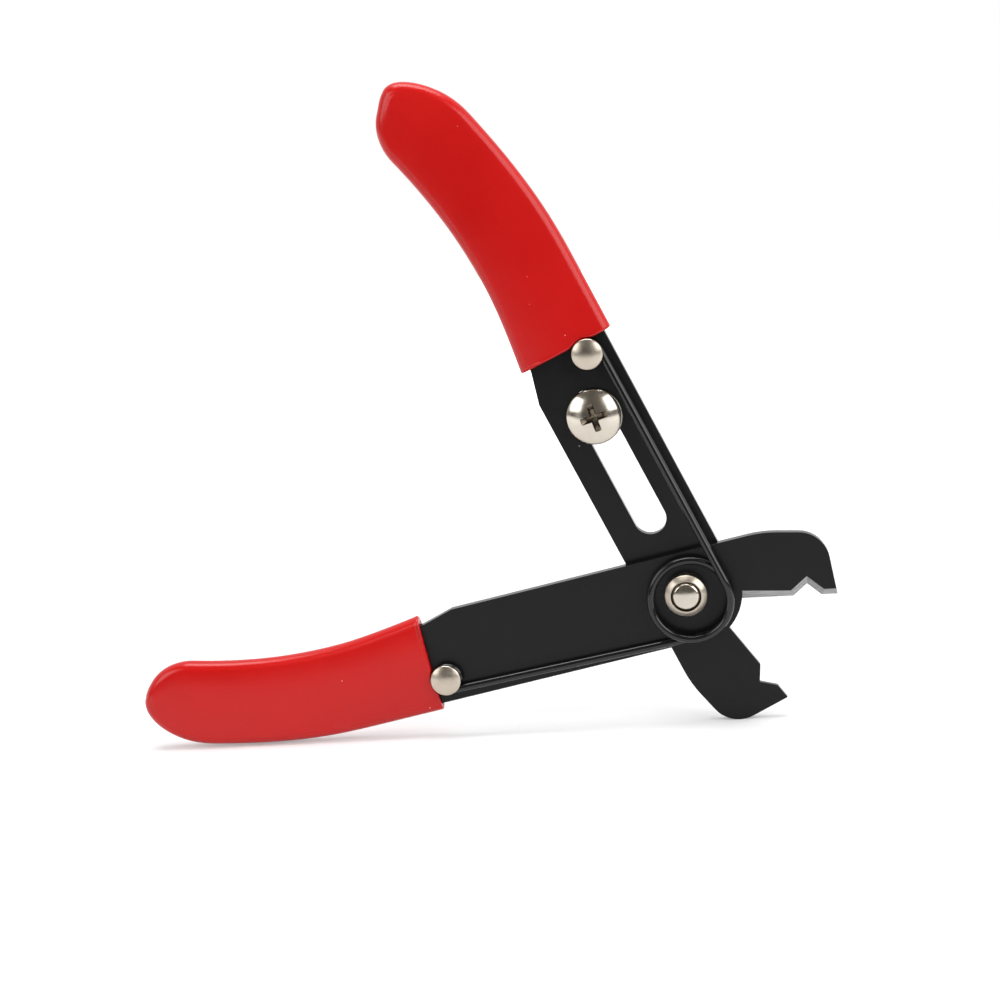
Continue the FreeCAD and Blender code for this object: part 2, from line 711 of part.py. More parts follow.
def make_spring(doc, s, label, front, rear):
    """Torsion spring swept along one wire: eye, leg, coil, leg, eye."""
    wire_radius = s.wire_diameter.value / 2
    clear = wire_radius + s.spring_seat.value
    front_depth = -(s.plate_thickness.value + s.plate_gap.value / 2) - clear
    rear_depth = s.plate_gap.value / 2 - clear
    # Each eye is pulled against its rivet, so it sits off it by the slack, towards the pivot
    eye = Vector((s.eye_slack - s.rivet_reach).value, 0, -s.rivet_drop.value)
    front_eye, rear_eye = front.multVec(eye), rear.multVec(eye)
    coil = front.multVec(Vector(s.coil_shift_along.value, 0, -s.coil_shift_down.value))
    eye_radius, coil_radius = s.eye_radius.value, s.coil_radius.value
    front_leg = tangent_direction(front_eye, eye_radius, coil, coil_radius)
    rear_leg = tangent_direction(coil, coil_radius, rear_eye, eye_radius)
    eye_turn = math.radians(s.eye_turn.value)
    start, finish = front_leg - math.pi / 2, rear_leg - math.pi / 2

    turns = coil_path(s, coil, start, finish + 2 * math.pi, front_depth)
    coil_end = turns[-1].EndPoint
    leaving = turns[-1].tangent(turns[-1].LastParameter)[0]
    level = Vector(math.cos(rear_leg), 0, math.sin(rear_leg))
    eye_start = around(rear_eye, eye_radius, finish, rear_depth)
    reach = s.leg_bend_reach.value
    leave, arrive = coil_end + leaving * reach, eye_start - level * reach
    slanting = (arrive - leave).normalize()
    leg_bends = [bend(leave, leaving, slanting, reach), bend(arrive, slanting, level, reach)]
    curves = flat_arcs(front_eye, eye_radius, start - eye_turn, start, front_depth)
    wire_start = curves[0].StartPoint
    curves.append(Part.LineSegment(curves[-1].EndPoint, turns[0].StartPoint))
    curves += turns
    curves += [leg_bends[0], Part.LineSegment(leg_bends[0].EndPoint, leg_bends[1].StartPoint), leg_bends[1]]
    curves += flat_arcs(rear_eye, eye_radius, finish, finish + eye_turn, rear_depth)
    edges = [curve.toShape() for curve in curves]
    spine = Part.Wire(edges)
    wire_heading = edges[0].tangentAt(edges[0].FirstParameter)
    section = Part.Wire(Part.makeCircle(wire_radius, wire_start, wire_heading))
    spring = doc.addObject("Part::Feature", label)
    spring.Label = label
    spring.Shape = spine.makePipeShell([section], True, False)
    expected = math.pi * wire_radius ** 2 * spine.Length
    print(f"spring wire {spine.Length:.1f} mm, volume {spring.Shape.Volume:.1f} of {expected:.1f} mm3")
    return spring


def build():
    doc = FreeCAD.newDocument("wire_cutter_stripper")
    s = make_sheet(doc)
    front, rear = half_placements(s)
    upright = Rotation()
    rivet_front = front.multVec(Vector(-s.rivet_reach.value, -s.plate_thickness.value, -s.rivet_drop.value))
    rivet_rear = rear.multVec(Vector(-s.rivet_reach.value, 0, -s.rivet_drop.value))
    stop = rear.multVec(Vector(-s.stop_reach.value, 0, -s.slot_drop.value))
    stop_turn = turned_about_bolt(s.stop_turn.value).Rotation
    washer_seat, nut_seat = (ALONG_BOLT * depth.value for depth in stop_stack(s)[:2])
    pieces = {
        make_plate(doc, s, "front_plate", slotted=False): front,
        make_plate(doc, s, "rear_plate", slotted=True): rear,
        make_grip(doc, s, "front_grip", spring_towards_plus_y=False): front,
        make_grip(doc, s, "rear_grip", spring_towards_plus_y=True): rear,
        make_rivet(doc, s, "front_spring_rivet"): Placement(rivet_front, upright),
        make_rivet(doc, s, "rear_spring_rivet"): Placement(rivet_rear, upright),
        make_pivot_bolt(doc, s, "pivot_bolt"): Placement(),
        make_pivot_nut(doc, s, "pivot_nut"): Placement(),
        make_stop_screw(doc, s, "stop_screw"): Placement(stop, stop_turn),
        make_lock_washer(doc, s, "stop_lock_washer"): Placement(stop + washer_seat, rear.Rotation),
        make_hex_nut(doc, s, "stop_nut"): Placement(stop + nut_seat, rear.Rotation),
        make_spring(doc, s, "torsion_spring", front, rear): Placement(),
    }
    return doc, s, pieces, rear, stop


def stand_on_floor(doc, pieces):
    """Put the lowest point on Z = 0 and the middle of the box on the Z axis."""
    for piece, place in pieces.items():
        piece.Placement = place
    doc.recompute()
    box = FreeCAD.BoundBox()
    for piece in pieces:
        box.add(piece.Shape.optimalBoundingBox(False))
    shift = Placement(-Vector(box.Center.x, box.Center.y, box.ZMin), Rotation())
    for piece, place in pieces.items():
        piece.Placement = shift.multiply(place)
    doc.recompute()
    return shift


def check(doc, pieces):
    for item in doc.Objects:
        if "Invalid" in item.State or "Error" in item.State:
            raise RuntimeError(f"{item.Label} failed: {item.State}")
    for piece in pieces:
        if piece.Shape.isNull() or not piece.Shape.isValid():
            raise RuntimeError(f"{piece.Label} has no valid shape")


def main():
    doc, s, pieces, rear, stop = build()
    shift = stand_on_floor(doc, pieces)
    check(doc, pieces)
    os.makedirs("parts", exist_ok=True)
    for piece in pieces:
        piece.Shape.exportStep(os.path.join("parts", f"{piece.Label}.step"))
        print(f"{piece.Label}: {piece.Shape.Volume:.1f} mm3, {len(piece.Shape.Solids)} solid")
    print("pivot", shift.multVec(Vector()), "stop", shift.multVec(stop),
          "slot direction", rear.Rotation.multVec(Vector(1, 0, 0)))


main()
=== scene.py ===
"""Looks of the wire cutter stripper: plates, vinyl sleeves, spring, fasteners, floor, light and camera."""
import json
import math

import bmesh
import bpy
from mathutils import Matrix, Vector


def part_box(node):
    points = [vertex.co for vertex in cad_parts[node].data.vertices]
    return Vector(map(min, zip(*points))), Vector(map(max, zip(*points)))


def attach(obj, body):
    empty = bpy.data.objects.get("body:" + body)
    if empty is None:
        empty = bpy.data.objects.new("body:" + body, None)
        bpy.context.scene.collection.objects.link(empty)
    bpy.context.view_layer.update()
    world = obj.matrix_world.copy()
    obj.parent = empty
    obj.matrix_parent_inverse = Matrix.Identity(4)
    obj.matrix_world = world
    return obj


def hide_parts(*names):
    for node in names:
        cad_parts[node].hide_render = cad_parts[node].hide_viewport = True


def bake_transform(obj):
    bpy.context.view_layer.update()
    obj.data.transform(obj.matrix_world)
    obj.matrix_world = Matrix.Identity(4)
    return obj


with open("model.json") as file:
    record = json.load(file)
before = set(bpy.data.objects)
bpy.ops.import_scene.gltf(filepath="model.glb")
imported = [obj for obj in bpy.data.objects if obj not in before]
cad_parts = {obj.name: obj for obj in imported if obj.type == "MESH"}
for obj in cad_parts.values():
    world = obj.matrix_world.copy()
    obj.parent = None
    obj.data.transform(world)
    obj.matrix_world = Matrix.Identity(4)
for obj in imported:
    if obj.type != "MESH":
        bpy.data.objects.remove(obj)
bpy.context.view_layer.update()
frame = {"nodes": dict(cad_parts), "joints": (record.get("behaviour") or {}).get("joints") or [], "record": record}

MM = 0.001
JOINTS = {joint["name"]: joint for joint in frame["joints"]}
PIVOT = Vector(JOINTS["pivot_hinge"]["pos_m"])
BAR_REAR = Vector(JOINTS["stop_slide"]["axis"]).normalized()
BODY_OF = {node: body for body, nodes in frame["record"]["behaviour"]["bodies"].items() for node in nodes}

# Plates and their vinyl sleeves, in millimetres and degrees, in a half's bar frame
OPEN_ANGLE = 76.8
PLATE_THICKNESS = 2.0
PLATE_GAP = 0.04
BAR_OUTER = 9.0
BEND_START = 62.0
BEND_RADIUS = 118.7
TANG_WIDTH = 13.7
TANG_END = 18.45
TANG_CORNER = 5.55
TANG_FIT = 0.05
SLEEVE_MOUTH = 47.6
SLEEVE_WALL = 1.28
SLEEVE_FACE_WALL = 1.45
SLEEVE_INNER_ROUND = (7.4, 8.8)
SLEEVE_OUTER_ROUND = (8.1, 12.0)
SLEEVE_FLARE = 0.5
SLEEVE_INNER_TAPER = 0.33
SLEEVE_OUTER_TAPER = 0.4
SLEEVE_EDGE = 1.9
SLEEVE_CROWN = 0.5
DRIP_INSET = 5.2
DRIP_REACH = 5.2
LIP_RADIUS = 0.35
LIP_TURNS = (60, 30, 0)
BITE_FADE = 6.0

# Spring wire
WIRE_RADIUS = 0.7
COIL_RADIUS = 7.0
COIL_CENTRE = (0.53, -1.0)
COIL_PITCH = 1.75
COIL_EASE = 0.25
EYE_RADIUS = 2.2
EYE_CENTRE = (-45.21, -4.6)
EYE_TURN = 285.0
SPRING_SEAT = 0.06
BITE_PLAY = 0.1
BITE_RADIUS = EYE_RADIUS + WIRE_RADIUS + BITE_PLAY

# Rivets; an ease is how far a corner's rounding reaches, a stop how far inside its edge a dome ends
RIVET_RIM = 0.55
RIVET_DOME = 0.75
RIVET_DOME_STOP = 0.3
RIVET_EDGE_EASE = 0.22
RIVET_UNDER_EASE = 0.12
RIVET_SHANK = 1.2
RIVET_TAIL = (2.1, 0.5)
RIVET_TAIL_EASE = (0.08, 0.25)

# Pivot bolt and its round nut
PIVOT_RADIUS = 2.45
PIVOT_END_CHAMFER = 0.35
PIVOT_END_DOME = 0.3
PIVOT_DOME_STOP = 0.12
PIVOT_END_EASE = 0.1
PIVOT_CHAMFER_EASE = 0.08
PIVOT_HEAD = 1.6
PIVOT_HEAD_CHAMFER = 0.6
PIVOT_SEAT_EASE = 0.1
PIVOT_HEAD_EASE = 0.2
NUT_BORE = 2.48
NUT_THROAT = 0.6
NUT_FUNNEL = 0.2
NUT_FUNNEL_EASE = 0.03
# Reach beyond the bore of the painted shade in the gap between nut and bolt end
NUT_SHADE_REACH = 0.17
NUT_LAND = 2.85
NUT_LAND_EASE = 0.06
NUT_CONE = 0.75
NUT_CONE_EASE = 0.12
NUT_SEAT_EASE = 0.1

# Stop screw
SCREW_SHANK = 2.45
SCREW_DOME = 1.75
SCREW_RIM = 0.7
SCREW_EDGE_EASE = 0.22
SCREW_UNDER_EASE = 0.08
SCREW_TURN = 16.0
THREAD_PITCH = 0.8
THREAD_DEPTH = 0.32
THREAD_LENGTH = 2.4
THREAD_TAPER = 0.3
THREAD_ROWS = 8

# Cross recess of the stop screw: its floor as shares of its size, its wall and mouth as differences from it
RECESS_REACH = 2.4
RECESS_HALF = 0.55
RECESS_DEPTH = 1.5
RECESS_POINT = 0.12
RECESS_FLOOR_HALF = 0.62
RECESS_FLOOR_REACH = 0.6
RECESS_FLOOR_SLOPE = 0.1
RECESS_WALL_HALF = 0.02
RECESS_WALL_REACH = 0.05
RECESS_WALL_DEPTH = 0.09
RECESS_MOUTH_HALF = 0.04
RECESS_MOUTH_REACH = 0.06
RECESS_TIP_EASE = 0.2
RECESS_INNER_EASE = 0.16
RECESS_LIP = 0.02
RECESS_POINTS = 24

# Photograph's camera, from the pivot
CAMERA_PLACE = PIVOT + Vector((0.0130814, -0.38969, 0.0930563))
CAMERA_AIM = PIVOT + Vector((-0.0318286, 0.0, 0.0182163))
CAMERA_ROLL = -4.61
CAMERA_VIEW = 25.0
CAMERA_NEAR = 0.01


class Half:
    """Bar frame of one half: x along the bar towards the jaw, z to the inner edge, y from the shear face."""

    def __init__(self, along, flipped):
        side = -1 if flipped else 1
        self.along = along
        self.through = Vector((0, side, 0))
        self.inward = along.cross(self.through)
        self.face = PIVOT - self.through * (PLATE_GAP / 2 * MM)

    def point(self, x, y, z):
        """Row-frame point of a bar-frame point given in millimetres."""
        return self.face + (self.along * x + self.through * y + self.inward * z) * MM


def turned(vector, degrees):
    """Turned about the pivot's axis, anticlockwise as seen from the front."""
    return Matrix.Rotation(math.radians(degrees), 3, Vector((0, -1, 0))) @ vector


FRONT = Half(turned(BAR_REAR, OPEN_ANGLE), flipped=False)
REAR = Half(BAR_REAR, flipped=True)


# Materials: shades are linear colours, the dull or dark one first

ENAMEL_SHADES = (0.004, 0.004, 0.0043), (0.008, 0.008, 0.0085)
ENAMEL_SPREAD = (-0.08, 0.09)
STEEL_SHADES = (0.12, 0.12, 0.122), (0.5, 0.5, 0.505)
STEEL_ROUGHNESS = (0.28, 0.52)
SCRATCHES_PER_METRE = (350.0, 4000.0, 4000.0)
SPRING_SHADES = (0.004, 0.004, 0.0045), (0.008, 0.008, 0.0085)
SPRING_ROUGHNESS = (0.08, 0.24)
NICKEL_SHADES = (0.5, 0.455, 0.385), (0.62, 0.575, 0.505)
SATIN_SHADES = (0.44, 0.385, 0.315), (0.57, 0.51, 0.43)
NICKEL_SPREAD = (-0.08, 0.12)
# Darker, browner nickel of the recess and the nut's throat: part tarnish, part painted shade of the hollows
RECESS_TARNISH_AND_SHADE_TONES = (0.05, 0.038, 0.026), (0.3, 0.25, 0.19)
RECESS_ROUGHNESS = (0.22, 0.5)
VINYL_SHADES = (0.45, 0.0032, 0.0025), (0.54, 0.0055, 0.0043)
VINYL_ROUGHNESS = (0.19, 0.29)
# Pale pink of the vinyl's specks: part dust, part painted glints of tiny pimples
VINYL_DUST_AND_GLINT = (0.78, 0.24, 0.22)
SPECK_CORE = 0.6


class Nodes:
    """Short hand for one material's node tree."""

    def __init__(self, name):
        self.material = bpy.data.materials.new(name)
        self.material.use_nodes = True
        self.tree = self.material.node_tree
        self.shader = self.tree.nodes["Principled BSDF"]
        self.output = self.tree.nodes["Material Output"]
        self.place = self.add("ShaderNodeTexCoord").outputs["Object"]

    def add(self, kind, inputs=None, **settings):
        node = self.tree.nodes.new(kind)
        for key, value in settings.items():
            setattr(node, key, value)
        for key, value in (inputs or {}).items():
            self.put(node.inputs[key], value)
        return node

    def put(self, socket, value):
        if isinstance(value, bpy.types.NodeSocket):
            self.tree.links.new(value, socket)
        else:
            socket.default_value = value

    def set(self, **values):
        """Sockets of the shader, by name with underscores for spaces."""
        for key, value in values.items():
            self.put(self.shader.inputs[key.replace("_", " ")], value)

    def noise(self, size, detail=3.0, roughness=0.5):
        """Noise with features of about the given size in millimetres."""
        return self.add("ShaderNodeTexNoise", {
            "Vector": self.place, "Scale": 1 / (size * MM), "Detail": detail, "Roughness": roughness,
        }).outputs["Fac"]

    def between(self, value, low, high, out_low, out_high):
        return self.add("ShaderNodeMapRange", {
            "Value": value, "From Min": low, "From Max": high, "To Min": out_low, "To Max": out_high,
        }).outputs["Result"]

    def math(self, operation, first, second):
        return self.add("ShaderNodeMath", {0: first, 1: second}, operation=operation).outputs["Value"]

    def mix(self, factor, first, second):
        node = self.add("ShaderNodeMix", {"Factor": factor}, data_type="RGBA")
        self.put(node.inputs["A"], (*first, 1) if isinstance(first, tuple) else first)
        self.put(node.inputs["B"], (*second, 1) if isinstance(second, tuple) else second)
        return node.outputs["Result"]

    def bump(self, height, depth, strength=1.0):
        """Bump whose full height is depth millimetres."""
        return self.add("ShaderNodeBump", {
            "Height": height, "Distance": depth * MM, "Strength": strength,
        }).outputs["Normal"]

    def specks(self, spacing, radius, share):
        """Mask of small round specks, one in a share of the cells of the given spacing in millimetres."""
        cells = self.add("ShaderNodeTexVoronoi", {"Vector": self.place, "Scale": 1 / (spacing * MM)})
        chance = self.add("ShaderNodeSeparateColor", {"Color": cells.outputs["Color"]}).outputs["Red"]
        edge = radius / spacing
        near = self.between(cells.outputs["Distance"], edge, edge * SPECK_CORE, 0, 1)
        return self.math("MULTIPLY", near, self.math("LESS_THAN", chance, share))


def black_enamel(name, roughness, dust_grey):
    nodes = Nodes(name)
    cloud = nodes.noise(size=6.0, detail=4.0)
    grain = nodes.noise(size=0.35, detail=2.0)
    speck_mask = nodes.specks(spacing=4.0, radius=0.14, share=0.06)
    nodes.set(
        Base_Color=nodes.mix(speck_mask, nodes.mix(cloud, *ENAMEL_SHADES), (dust_grey, dust_grey, dust_grey)),
        Roughness=nodes.between(cloud, 0, 1, *(roughness + step for step in ENAMEL_SPREAD)),
        Specular_IOR_Level=0.2,
        Normal=nodes.bump(grain, depth=0.004, strength=0.4),
    )
    return nodes.material


def ground_steel():
    nodes = Nodes("ground_steel")
    drawn_out = nodes.add("ShaderNodeMapping", {"Vector": nodes.place, "Scale": SCRATCHES_PER_METRE})
    scratches = nodes.add("ShaderNodeTexNoise", {
        "Vector": drawn_out.outputs["Vector"], "Scale": 1.0, "Detail": 3.0,
    }).outputs["Fac"]
    nodes.set(
        Base_Color=nodes.mix(scratches, *STEEL_SHADES),
        Metallic=1.0,
        Roughness=nodes.between(scratches, 0, 1, *STEEL_ROUGHNESS),
        Normal=nodes.bump(scratches, depth=0.01, strength=0.4),
    )
    return nodes.material


def spring_black():
    nodes = Nodes("spring_black")
    cloud = nodes.noise(size=2.5)
    nodes.set(
        Base_Color=nodes.mix(cloud, *SPRING_SHADES),
        Roughness=nodes.between(cloud, 0, 1, *SPRING_ROUGHNESS),
        Specular_IOR_Level=0.45,
    )
    return nodes.material


def nickel_plate(name, roughness, shades):
    nodes = Nodes(name)
    cloud = nodes.noise(size=1.6, detail=4.0)
    nodes.set(
        Base_Color=nodes.mix(cloud, *shades),
        Metallic=1.0,
        Roughness=nodes.between(cloud, 0, 1, *(roughness + step for step in NICKEL_SPREAD)),
        Normal=nodes.bump(nodes.noise(size=0.5), depth=0.003, strength=0.35),
    )
    return nodes.material


def tarnished_and_shaded_recess():
    """Plating in the screw's recess and the nut's throat, darker and browner: part tarnish, part painted shade."""
    nodes = Nodes("tarnished_and_shaded_recess")
    cloud = nodes.noise(size=0.6)
    nodes.set(
        Base_Color=nodes.mix(cloud, *RECESS_TARNISH_AND_SHADE_TONES),
        Metallic=1.0,
        Roughness=nodes.between(cloud, 0, 1, *RECESS_ROUGHNESS),
    )
    return nodes.material


def red_vinyl():
    nodes = Nodes("red_vinyl")
    cloud = nodes.noise(size=14.0, detail=2.0)
    sag = nodes.noise(size=7.0, detail=1.0)
    # Pale specks: part dust, part painted glints standing in for the highlights of tiny pimples
    speck_mask = nodes.specks(spacing=2.6, radius=0.15, share=0.4)
    nodes.set(
        Base_Color=nodes.mix(speck_mask, nodes.mix(cloud, *VINYL_SHADES), VINYL_DUST_AND_GLINT),
        Roughness=nodes.between(cloud, 0, 1, *VINYL_ROUGHNESS),
        Specular_IOR_Level=0.33,
        Normal=nodes.bump(sag, depth=0.008, strength=0.4),
    )
    return nodes.material


ENAMEL = black_enamel("black_enamel", roughness=0.3, dust_grey=0.35)
EDGE_ENAMEL = black_enamel("edge_enamel", roughness=0.16, dust_grey=0.12)
STEEL = ground_steel()
WIRE = spring_black()
NICKEL = nickel_plate("nickel_plate", roughness=0.18, shades=NICKEL_SHADES)
SATIN_NICKEL = nickel_plate("satin_nickel", roughness=0.3, shades=SATIN_SHADES)
# Part tarnish, part painted shade, for the screw's recess and the nut's throat
RECESS_TARNISH_AND_SHADE = tarnished_and_shaded_recess()
VINYL = red_vinyl()


# Meshes

def new_piece(name, mesh, *materials):
    for material in materials:
        mesh.materials.append(material)
    piece = bpy.data.objects.new(name, mesh)
    bpy.context.scene.collection.objects.link(piece)
    return piece


def stand_for(piece, node):
    """The piece takes the node's place, on its body."""
    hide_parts(node)
    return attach(piece, BODY_OF[node])


def mesh_of(name, points, faces):
    mesh = bpy.data.meshes.new(name)
    mesh.from_pydata([tuple(point) for point in points], [], faces)
    mesh.validate()
    mesh.shade_smooth()
    return mesh


def ring_faces(first, second, count):
    """Quads between two closed rings of points, given by the number of their first point."""
    return [(first + i, first + (i + 1) % count, second + (i + 1) % count, second + i) for i in range(count)]


def mended(mesh, reach):
    """The mesh with points nearer than reach joined and its faces turned outwards."""
    solid = bmesh.new()
    solid.from_mesh(mesh)
    bmesh.ops.remove_doubles(solid, verts=solid.verts, dist=reach)
    bmesh.ops.recalc_face_normals(solid, faces=solid.faces)
    solid.to_mesh(mesh)
    solid.free()
    mesh.shade_smooth()
    return mesh


# Plates, hex nut and lock washer

EDGE_SOFTNESS = 0.18
EDGE_STEPS = 3
NUT_SOFTNESS = 0.12
SAME_POINT = 0.0005
FLAT_ANGLE = math.radians(0.5)
SHARP_ANGLE = math.radians(28)
EDGE_TILT = 0.3
FACE_TILT = 0.9
BEVEL_COVER = 0.38
SEAT_GAP = 0.005
FACE_PAINT, GROUND_PAINT, EDGE_PAINT = 0, 1, 2


def plate_paint(face):
    """Number of the material on a plate's face: broad face, ground bevel or cut edge."""
    tilt = abs(face.normal.y)
    if tilt >= FACE_TILT:
        return FACE_PAINT
    return GROUND_PAINT if tilt > EDGE_TILT else EDGE_PAINT


def cover_bevel(solid):
    """Moves the upper border of each ground bevel towards its cutting edge, where the paint ends."""
    moves = []
    for vert in solid.verts:
        paints = {face.material_index for face in vert.link_faces}
        if not {FACE_PAINT, GROUND_PAINT} <= paints:
            continue
        for edge in vert.link_edges:
            low = edge.other_vert(vert)
            if all(face.material_index != FACE_PAINT for face in edge.link_faces) and any(
                    face.material_index == GROUND_PAINT for face in edge.link_faces):
                shift = (low.co - vert.co) * BEVEL_COVER
                moves.append((vert, Vector((shift.x, 0, shift.z))))
                break
    for vert, shift in moves:
        vert.co += shift


def thin(solid, gap):
    """Draws the solid's front and back in by a gap, so that they lie a hair off the pieces beside it."""
    middle = (min(vert.co.y for vert in solid.verts) + max(vert.co.y for vert in solid.verts)) / 2
    for vert in solid.verts:
        offset = vert.co.y - middle
        vert.co.y -= math.copysign(min(gap * MM, abs(offset)), offset)


def dress(node, softness, paint, materials, seat_gap=0.0):
    """Copy of a node's solid, its ground bevels partly painted over and its other sharp edges rounded."""
    solid = bmesh.new()
    solid.from_mesh(frame["nodes"][node].data)
    bmesh.ops.remove_doubles(solid, verts=solid.verts, dist=SAME_POINT * MM)
    bmesh.ops.dissolve_limit(solid, angle_limit=FLAT_ANGLE, verts=solid.verts, edges=solid.edges)
    for face in solid.faces:
        face.material_index = paint(face)
    cover_bevel(solid)
    thin(solid, seat_gap)
    edges = [edge for edge in solid.edges
             if edge.is_manifold and edge.calc_face_angle() > SHARP_ANGLE
             and not any(face.material_index == GROUND_PAINT for face in edge.link_faces)]
    bmesh.ops.bevel(solid, geom=edges, offset=softness * MM, segments=EDGE_STEPS, profile=0.5, affect="EDGES",
                    clamp_overlap=True, material=len(materials) - 1)
    mesh = bpy.data.meshes.new(f"{node}_dressed")
    solid.to_mesh(mesh)
    solid.free()
    mesh.shade_smooth()
    mesh.set_sharp_from_angle(angle=SHARP_ANGLE)
    piece = new_piece(f"{node}_dressed", mesh, *materials)
    piece.modifiers.new("even_faces", "WEIGHTED_NORMAL").keep_sharp = True
    stand_for(piece, node)


for plate in ("front_plate", "rear_plate"):
    dress(plate, EDGE_SOFTNESS, plate_paint, (ENAMEL, STEEL, EDGE_ENAMEL))
for fixing in ("stop_nut", "stop_lock_washer"):
    dress(fixing, NUT_SOFTNESS, lambda face: FACE_PAINT, (NICKEL,), SEAT_GAP)


# Vinyl sleeves

BODY_ROWS = 90
ROUND_ROWS = 24
FACE_COLUMNS = 16
RIM_STEPS = 12
SLEEVE_MEND = 0.004
# Shares of the way from the mouth to the end
FLARE_SPAN = (0, 0.4)
INNER_TAPER_SPAN = (0.15, 0.7)
OUTER_TAPER_SPAN = (0.45, 1)


def bend_point(radius, angle):
    """Point of the handle's bend in the bar frame, with the direction away from the bend's centre."""
    away = Vector((-math.sin(math.radians(angle)), -math.cos(math.radians(angle))))
    return Vector((-BEND_START, BEND_RADIUS - BAR_OUTER)) + away * radius, away


def smooth(share, start, end):
    """Rises from 0 at start to 1 at end."""
    share = min(max((share - start) / (end - start), 0), 1)
    return share * share * (3 - 2 * share)


def inner_swell(share):
    """How far the dipped skin stands out on the inner side, from the mouth at 0 to the end at 1."""
    flare = SLEEVE_FLARE * (1 - smooth(share, *FLARE_SPAN))
    return flare - SLEEVE_INNER_TAPER * smooth(share, *INNER_TAPER_SPAN)


def outer_swell(share):
    return -SLEEVE_OUTER_TAPER * smooth(share, *OUTER_TAPER_SPAN)


def no_swell(_share):
    return 0


def side_path(margin, end_angle, rounding, outer, swell):
    """Points and inward normals along one side of the sleeve, from its mouth to the middle of its end."""
    across, along = rounding
    radius = BEND_RADIUS + margin if outer else BEND_RADIUS - TANG_WIDTH - margin
    sign = 1 if outer else -1
    seat = radius - sign * across
    turn = math.degrees(math.asin(along / seat))
    start = -math.degrees(math.asin((BEND_START - SLEEVE_MOUTH) / radius))
    path = []
    for row in range(BODY_ROWS):
        share = row / BODY_ROWS
        angle = start + (end_angle - turn - start) * share
        point, away = bend_point(radius, angle)
        if outer and angle < 0:
            point = Vector((-BEND_START + (BEND_START - SLEEVE_MOUTH) * angle / start, -BAR_OUTER - margin))
            away = Vector((0, -1))
        outward = away * sign
        path.append((point + outward * swell(share), -outward))
    centre, away = bend_point(seat, end_angle - turn)
    outward = away * sign
    heading = Vector((away.y, -away.x))
    centre = centre + outward * swell(1)
    for row in range(ROUND_ROWS + 1):
        angle = math.pi / 2 * row / ROUND_ROWS
        normal = (outward * math.cos(angle) * along + heading * math.sin(angle) * across).normalized()
        point = centre + outward * math.cos(angle) * across + heading * math.sin(angle) * along
        path.append((point, -normal))
    return path


def sleeve_rings(margin, half_thickness, edge, end_angle, roundings, swells, crown=0.0):
    """Closed rings of points round the handle, from mouth to end, their faces raised by the crown."""
    full = TANG_WIDTH + 2 * (margin - edge)
    slope = math.atan(4 * crown / full)
    half_thickness -= crown
    inner = side_path(margin, end_angle, roundings[0], False, swells[0])
    outer = side_path(margin, end_angle, roundings[1], True, swells[1])
    end_middle = (inner[-1][0] + outer[-1][0]) / 2
    back = (inner[-1][1] + outer[-1][1]).normalized()
    inner.append((end_middle, back))
    outer.append((end_middle, back))
    rim = []
    for step in range(RIM_STEPS):
        angle = slope + (math.pi / 2 - slope) * step / (RIM_STEPS - 1)
        rim.append((edge * (1 - math.sin(angle)), half_thickness - edge + edge * math.cos(angle)))
    rim += [(inset, -depth) for inset, depth in reversed(rim)]
    middle = -PLATE_THICKNESS / 2
    rings = []
    for (inner_point, inner_normal), (outer_point, outer_normal) in zip(inner, outer):
        near = [(inner_point + inner_normal * inset, depth) for inset, depth in rim]
        far = [(outer_point + outer_normal * inset, -depth) for inset, depth in rim]
        ring = []
        for side, other, face in ((near, far, -1), (far, near, 1)):
            ring += side
            start, end = side[-1], other[0]
            rise = crown * (end[0] - start[0]).length / full
            for column in range(1, FACE_COLUMNS):
                share = column / FACE_COLUMNS
                ring.append((start[0].lerp(end[0], share), start[1] + face * rise * 4 * share * (1 - share)))
        rings.append([Vector((point.x, middle + depth, point.y)) for point, depth in ring])
    return rings


def drip(point, end_angle, stand):
    """Outward shift of the sleeve's end where the dipping left its drip."""
    centre, away = bend_point(BEND_RADIUS - DRIP_INSET, end_angle)
    heading = Vector((away.y, -away.x))
    offset = Vector((point.x, point.z)) - centre
    across = Vector((offset.dot(away), point.y + PLATE_THICKNESS / 2))
    if offset.dot(heading) < -DRIP_REACH or across.length > DRIP_REACH:
        return point
    rise = stand * (1 - (across.length / DRIP_REACH) ** 2) ** 2
    return point + Vector((heading.x, 0, heading.y)) * rise


def bite(point, spring_side):
    """Shift of the sleeve's mouth that keeps it off the spring's eye."""
    if (point.y + PLATE_THICKNESS / 2) * spring_side < 0:
        return point
    drop = point.z - EYE_CENTRE[1]
    if abs(drop) >= BITE_RADIUS:
        return point
    needed = EYE_CENTRE[0] - math.sqrt(BITE_RADIUS ** 2 - drop ** 2)
    push = max(-SLEEVE_MOUTH - needed, 0)
    fade = max(0.0, 1 - (-SLEEVE_MOUTH - point.x) / BITE_FADE)
    return point - Vector((push * fade * fade, 0, 0))


